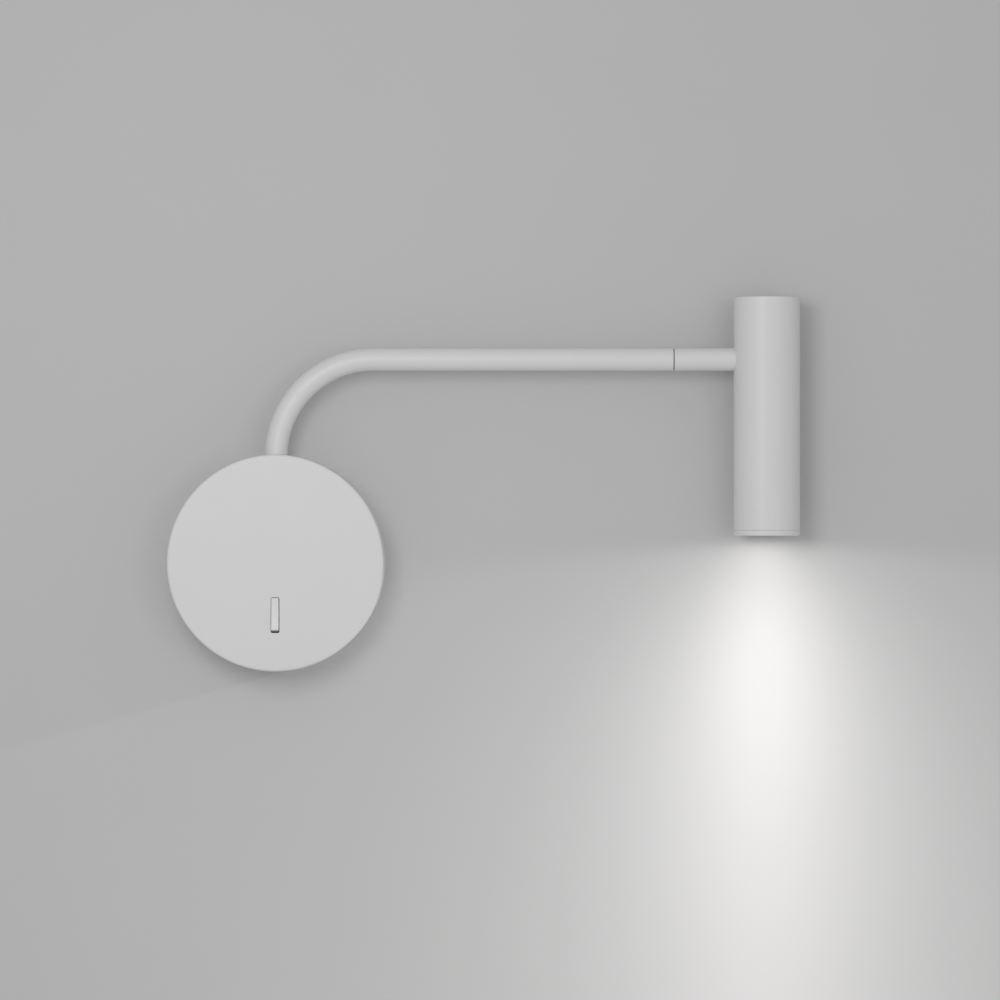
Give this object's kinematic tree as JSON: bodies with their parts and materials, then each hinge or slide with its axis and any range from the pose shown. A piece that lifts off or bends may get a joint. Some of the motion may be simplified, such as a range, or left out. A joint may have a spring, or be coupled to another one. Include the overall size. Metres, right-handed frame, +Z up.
{
  "type": "bedside wall reading lamp",
  "caption": "Swing-arm wall reading lamp: round base with a rocker switch, bent tube arm, and a cylindrical spotlight head that turns at a seam.",
  "frame": {"origin": "centre of the base's back face, on the wall plane", "axes": "+X to the right along the arm, +Z up, -Y out from the wall towards the room"},
  "size_m": [0.3511, 0.0404, 0.2074],
  "materials": {
    "white_powder_coat": "fine-textured powder coat",
    "zinc_plate": "zinc-plated sheet",
    "black_rubber": "moulded",
    "white_screw": "painted",
    "die_casting": "as cast",
    "zinc_screw": "bright zinc",
    "white_acetal": "turned",
    "driver_plastic": "moulded, fine spark texture",
    "green_circuit_board": "solder mask",
    "terminal_plastic": "moulded",
    "brass": "stamped",
    "turned_brass": "turned",
    "black_plastic": "moulded, satin",
    "rocker_plastic": "moulded, satin gloss",
    "brown_wire": "extruded",
    "black_wire": "extruded",
    "blue_wire": "extruded",
    "earth_wire": "extruded, striped",
    "white_cable": "extruded",
    "turned_steel": "turned",
    "spring_steel": "spring-tempered",
    "black_nylon": "moulded",
    "grey_nylon": "moulded",
    "bare_aluminium": "extruded, bare",
    "thermal_pad": "soft sheet",
    "white_circuit_board": "solder mask",
    "led_phosphor": "silicone-potted phosphor",
    "clear_lens": "moulded clear acrylic",
    "front_glass": "clear flat glass"
  },
  "bodies": {
    "base": {"wall_bracket": "zinc_plate", "cable_grommet": "black_rubber", "base_cover": "white_powder_coat", "cover_screws": "white_screw", "swivel_block": "die_casting", "block_screws": "zinc_screw", "upper_bush": "white_acetal", "lower_bush": "white_acetal", "thrust_washer": "white_acetal", "driver_case": "driver_plastic", "driver_lid": "driver_plastic", "driver_board": "green_circuit_board", "driver_screws": "zinc_screw", "terminal_block": "terminal_plastic", "terminal_screws": "zinc_screw", "earth_tag": "brass", "earth_screw": "zinc_screw", "switch_body": "black_plastic", "switch_screws": "zinc_screw", "switch_terminals": "brass", "live_wire": "brown_wire", "switched_wire": "black_wire", "neutral_wire": "blue_wire", "earth_wire": "earth_wire", "output_cable": "white_cable"},
    "rocker": {"rocker": "rocker_plastic", "plunger": "white_acetal"},
    "contact": {"contact_bar": "brass"},
    "arm": {"arm_tube": "white_powder_coat", "arm_spindle": "turned_steel", "friction_washer": "black_nylon", "stop_washer": "zinc_plate", "arm_spring": "spring_steel", "arm_nut": "zinc_screw", "arm_end_bush": "turned_brass", "seam_washer": "grey_nylon", "arm_cable": "white_cable"},
    "head": {"head_spindle": "turned_steel", "stop_pin": "turned_steel", "joint_washer": "zinc_plate", "joint_spring": "spring_steel", "retaining_ring": "spring_steel", "head_stub": "white_powder_coat", "stub_nipple": "turned_steel", "saddle_washer": "die_casting", "stub_nut": "zinc_screw", "head_body": "white_powder_coat", "heat_sink": "bare_aluminium", "thermal_pad": "thermal_pad", "led_board": "white_circuit_board", "led_chip": "led_phosphor", "board_screws": "zinc_screw", "lens_holder": "black_plastic", "lens": "clear_lens", "glass_gasket": "black_rubber", "front_glass": "front_glass", "trim_ring": "white_powder_coat", "head_cable": "white_cable"}
  },
  "joints": [
    {"name": "arm_swing", "type": "hinge", "parent": "base", "child": "arm", "pos_m": [0, -0.022, 0.034], "axis": [0, 0, -1], "range_deg": [0, 180]},
    {"name": "head_turn", "type": "hinge", "parent": "arm", "child": "head", "pos_m": [0.221, -0.022, 0.113], "axis": [-1, 0, 0], "range_deg": [-165, 165]},
    {"name": "rocker_press", "type": "hinge", "parent": "base", "child": "rocker", "pos_m": [0, -0.0287, -0.0288], "axis": [1, 0, 0], "range_deg": [0, 12]},
    {"name": "contact_tip", "type": "hinge", "parent": "base", "child": "contact", "pos_m": [0, -0.0208, -0.0288], "axis": [1, 0, 0], "range_deg": [-9, 0]}
  ],
  "couplings": [
    {"joint": "contact_tip", "follows": "rocker_press", "ratio": -0.75}
  ]
}
